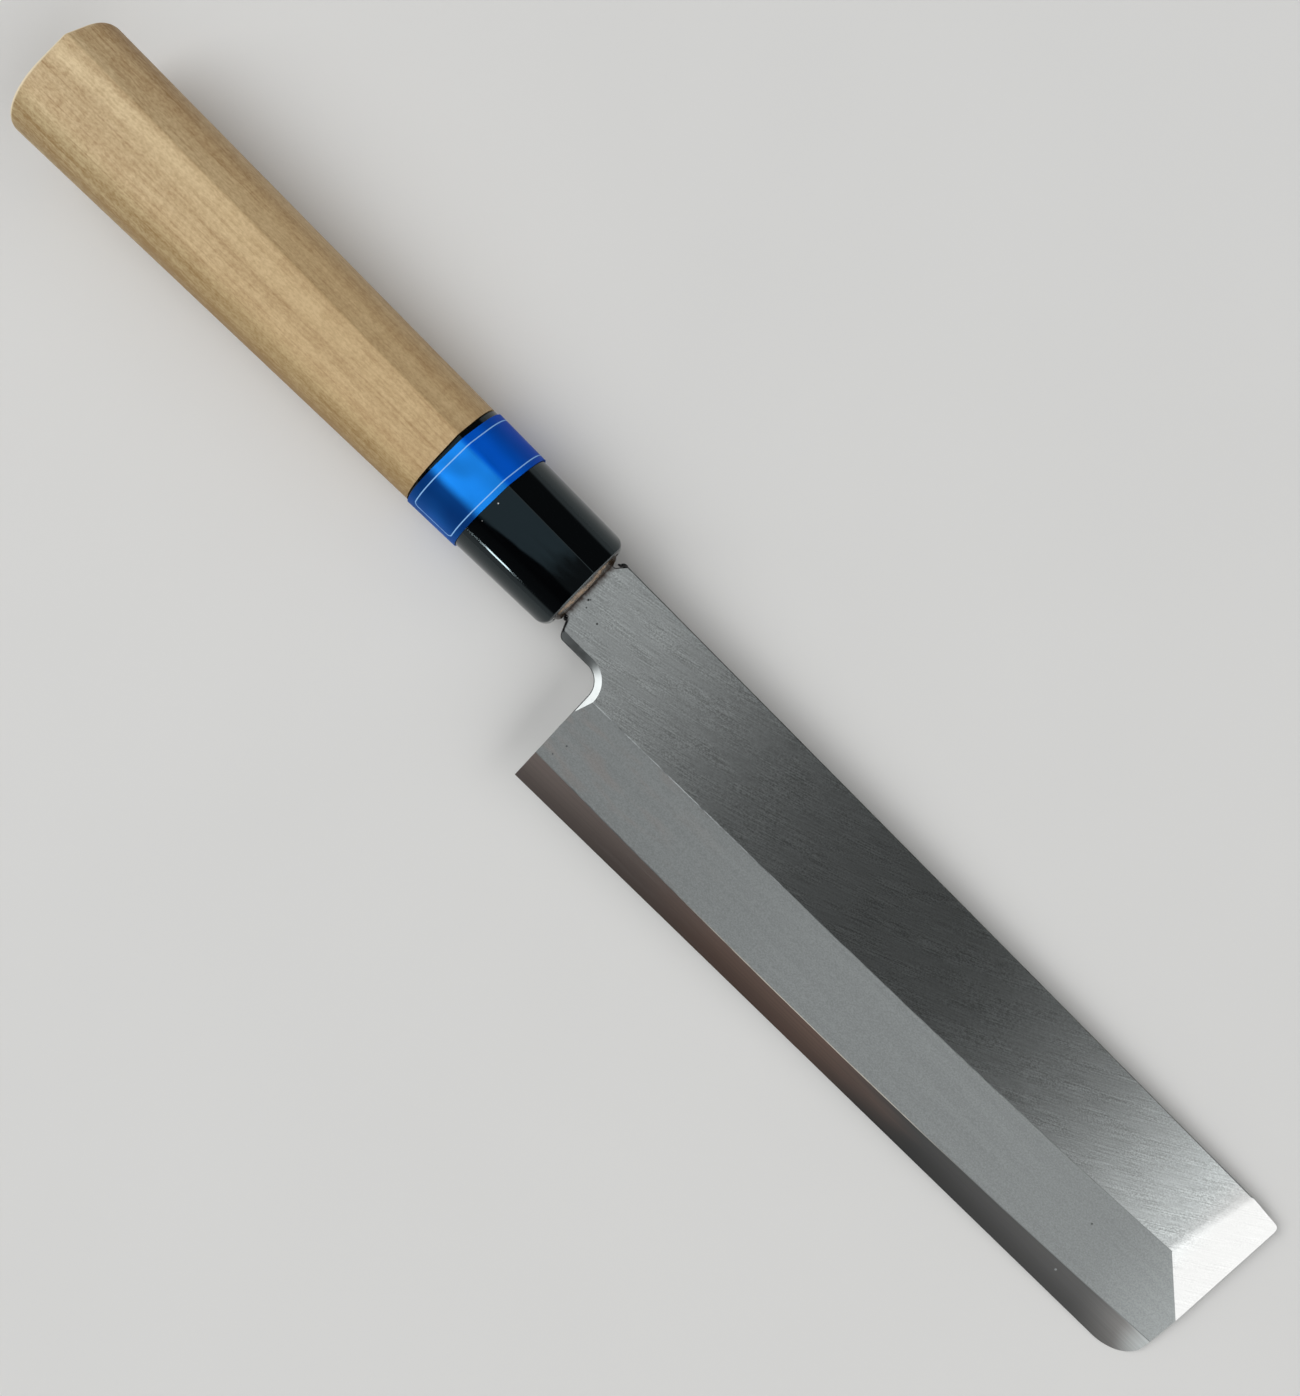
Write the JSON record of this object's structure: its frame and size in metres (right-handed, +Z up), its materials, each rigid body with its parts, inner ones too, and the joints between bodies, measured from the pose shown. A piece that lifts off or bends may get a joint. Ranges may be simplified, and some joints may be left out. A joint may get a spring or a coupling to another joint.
{
  "type": "usuba knife",
  "caption": "Square-tipped single-bevel vegetable knife with a steel blade, a black collar with a blue foil band, and a chestnut-section wooden handle.",
  "frame": {"origin": "on the surface the knife lies on, under the middle of its bounding box", "axes": "+X from butt to tip, +Y from cutting edge to spine, +Z up, away from the blade's flat back"},
  "size_m": [0.2918, 0.0442, 0.0247],
  "materials": {
    "blade_steel": "diagonal brushing on the flat, even matte bevel, polished edge strip",
    "grip_wood": "satin, fine straight grain",
    "ferrule_resin": "polished",
    "label_foil": "metallic blue foil with two pale border lines",
    "seal_resin": "glossy, uneven"
  },
  "bodies": {
    "root": {"blade": "blade_steel", "handle_grip": "grip_wood", "ferrule": "ferrule_resin", "label_band": "label_foil", "tang_seal": "seal_resin"}
  },
  "joints": []
}
